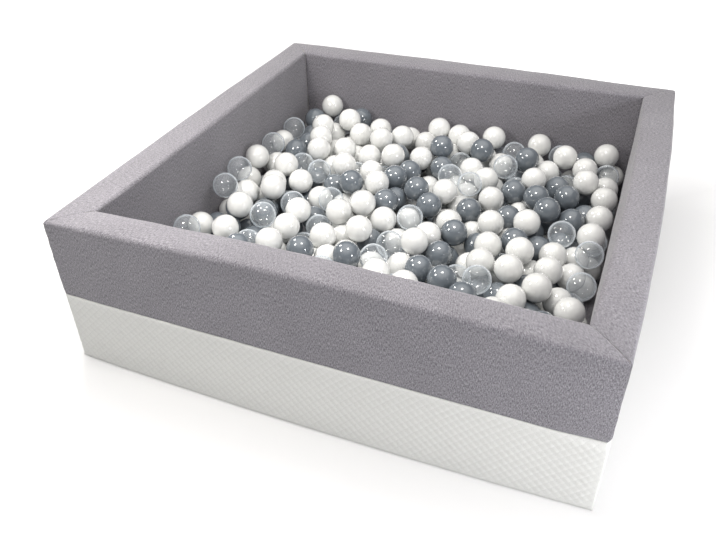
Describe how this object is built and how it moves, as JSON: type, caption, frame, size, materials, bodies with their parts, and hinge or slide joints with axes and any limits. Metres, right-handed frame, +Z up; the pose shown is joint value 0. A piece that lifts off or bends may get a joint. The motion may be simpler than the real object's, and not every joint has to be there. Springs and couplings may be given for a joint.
{
  "type": "ball pit",
  "caption": "Square soft ball pit: padded foam walls in a zipped cloth cover, grey above and quilted white below, filled with plastic play balls.",
  "frame": {"origin": "on the ground at the middle of the underside", "axes": "+Z up, front wall at -Y, zipped back wall at +Y"},
  "size_m": [1.2258, 1.224, 0.3874],
  "materials": {
    "heather_cover": "woven grey heather upholstery cloth",
    "quilted_cover": "white ticking quilted in small diamonds",
    "underside_cloth": "plain light woven cloth",
    "foam": "open-cell upholstery foam",
    "zip_tape": "woven polyester tape with moulded teeth",
    "zip_metal": "satin cast zinc",
    "ball_white": "blow-moulded glossy off-white",
    "ball_grey": "blow-moulded glossy mid grey",
    "ball_clear": "blow-moulded clear"
  },
  "bodies": {
    "pit": {"foam_wall_front": "foam", "foam_wall_right": "foam", "foam_wall_back": "foam", "foam_wall_left": "foam", "foam_floor": "foam", "quilted_band_front": "quilted_cover", "quilted_band_right": "quilted_cover", "quilted_band_back": "quilted_cover", "quilted_band_left": "quilted_cover", "underside_panel": "underside_cloth", "upper_cover_front": "heather_cover", "upper_cover_right": "heather_cover", "upper_cover_back": "heather_cover", "upper_cover_left": "heather_cover", "floor_panel": "heather_cover", "zip_tape_upper": "zip_tape", "zip_tape_lower": "zip_tape", "zip_stop_open_end": "zip_metal", "zip_stop_closed_end": "zip_metal", "ball_bed": "ball_white"},
    "zip_slider": {"zip_slider": "zip_metal"},
    "zip_pull_tab": {"zip_pull_tab": "zip_metal"},
    "ball_01": {"ball_01": "ball_white"},
    "ball_02": {"ball_02": "ball_grey"},
    "ball_03": {"ball_03": "ball_white"},
    "ball_04": {"ball_04": "ball_clear"},
    "ball_05": {"ball_05": "ball_white"},
    "ball_06": {"ball_06": "ball_grey"},
    "ball_07": {"ball_07": "ball_white"},
    "ball_08": {"ball_08": "ball_grey"},
    "ball_09": {"ball_09": "ball_white"},
    "ball_10": {"ball_10": "ball_clear"},
    "ball_11": {"ball_11": "ball_white"},
    "ball_12": {"ball_12": "ball_grey"},
    "ball_13": {"ball_13": "ball_white"},
    "ball_14": {"ball_14": "ball_grey"},
    "ball_15": {"ball_15": "ball_white"},
    "ball_16": {"ball_16": "ball_clear"},
    "ball_17": {"ball_17": "ball_white"},
    "ball_18": {"ball_18": "ball_grey"},
    "ball_19": {"ball_19": "ball_white"},
    "ball_20": {"ball_20": "ball_grey"},
    "ball_21": {"ball_21": "ball_white"},
    "ball_22": {"ball_22": "ball_clear"},
    "ball_23": {"ball_23": "ball_white"},
    "ball_24": {"ball_24": "ball_grey"}
  },
  "joints": [
    {"name": "zip_slide", "type": "slide", "parent": "pit", "child": "zip_slider", "axis": [-1, 0, 0], "range_m": [0, 0.9978]},
    {"name": "pull_tab_flip", "type": "hinge", "parent": "zip_slider", "child": "zip_pull_tab", "pos_m": [0.4989, 0.60215, 0.186], "axis": [0, 0, 1], "range_deg": [0, 175]},
    {"name": "ball_01_lift", "type": "slide", "parent": "pit", "child": "ball_01", "axis": [0, 0, 1], "range_m": [0, 0.28]},
    {"name": "ball_02_lift", "type": "slide", "parent": "pit", "child": "ball_02", "axis": [0, 0, 1], "range_m": [0, 0.28]},
    {"name": "ball_03_lift", "type": "slide", "parent": "pit", "child": "ball_03", "axis": [0, 0, 1], "range_m": [0, 0.28]},
    {"name": "ball_04_lift", "type": "slide", "parent": "pit", "child": "ball_04", "axis": [0, 0, 1], "range_m": [0, 0.28]},
    {"name": "ball_05_lift", "type": "slide", "parent": "pit", "child": "ball_05", "axis": [0, 0, 1], "range_m": [0, 0.28]},
    {"name": "ball_06_lift", "type": "slide", "parent": "pit", "child": "ball_06", "axis": [0, 0, 1], "range_m": [0, 0.28]},
    {"name": "ball_07_lift", "type": "slide", "parent": "pit", "child": "ball_07", "axis": [0, 0, 1], "range_m": [0, 0.28]},
    {"name": "ball_08_lift", "type": "slide", "parent": "pit", "child": "ball_08", "axis": [0, 0, 1], "range_m": [0, 0.28]},
    {"name": "ball_09_lift", "type": "slide", "parent": "pit", "child": "ball_09", "axis": [0, 0, 1], "range_m": [0, 0.28]},
    {"name": "ball_10_lift", "type": "slide", "parent": "pit", "child": "ball_10", "axis": [0, 0, 1], "range_m": [0, 0.28]},
    {"name": "ball_11_lift", "type": "slide", "parent": "pit", "child": "ball_11", "axis": [0, 0, 1], "range_m": [0, 0.28]},
    {"name": "ball_12_lift", "type": "slide", "parent": "pit", "child": "ball_12", "axis": [0, 0, 1], "range_m": [0, 0.28]},
    {"name": "ball_13_lift", "type": "slide", "parent": "pit", "child": "ball_13", "axis": [0, 0, 1], "range_m": [0, 0.28]},
    {"name": "ball_14_lift", "type": "slide", "parent": "pit", "child": "ball_14", "axis": [0, 0, 1], "range_m": [0, 0.28]},
    {"name": "ball_15_lift", "type": "slide", "parent": "pit", "child": "ball_15", "axis": [0, 0, 1], "range_m": [0, 0.28]},
    {"name": "ball_16_lift", "type": "slide", "parent": "pit", "child": "ball_16", "axis": [0, 0, 1], "range_m": [0, 0.28]},
    {"name": "ball_17_lift", "type": "slide", "parent": "pit", "child": "ball_17", "axis": [0, 0, 1], "range_m": [0, 0.28]},
    {"name": "ball_18_lift", "type": "slide", "parent": "pit", "child": "ball_18", "axis": [0, 0, 1], "range_m": [0, 0.28]},
    {"name": "ball_19_lift", "type": "slide", "parent": "pit", "child": "ball_19", "axis": [0, 0, 1], "range_m": [0, 0.28]},
    {"name": "ball_20_lift", "type": "slide", "parent": "pit", "child": "ball_20", "axis": [0, 0, 1], "range_m": [0, 0.28]},
    {"name": "ball_21_lift", "type": "slide", "parent": "pit", "child": "ball_21", "axis": [0, 0, 1], "range_m": [0, 0.28]},
    {"name": "ball_22_lift", "type": "slide", "parent": "pit", "child": "ball_22", "axis": [0, 0, 1], "range_m": [0, 0.28]},
    {"name": "ball_23_lift", "type": "slide", "parent": "pit", "child": "ball_23", "axis": [0, 0, 1], "range_m": [0, 0.28]},
    {"name": "ball_24_lift", "type": "slide", "parent": "pit", "child": "ball_24", "axis": [0, 0, 1], "range_m": [0, 0.28]}
  ]
}
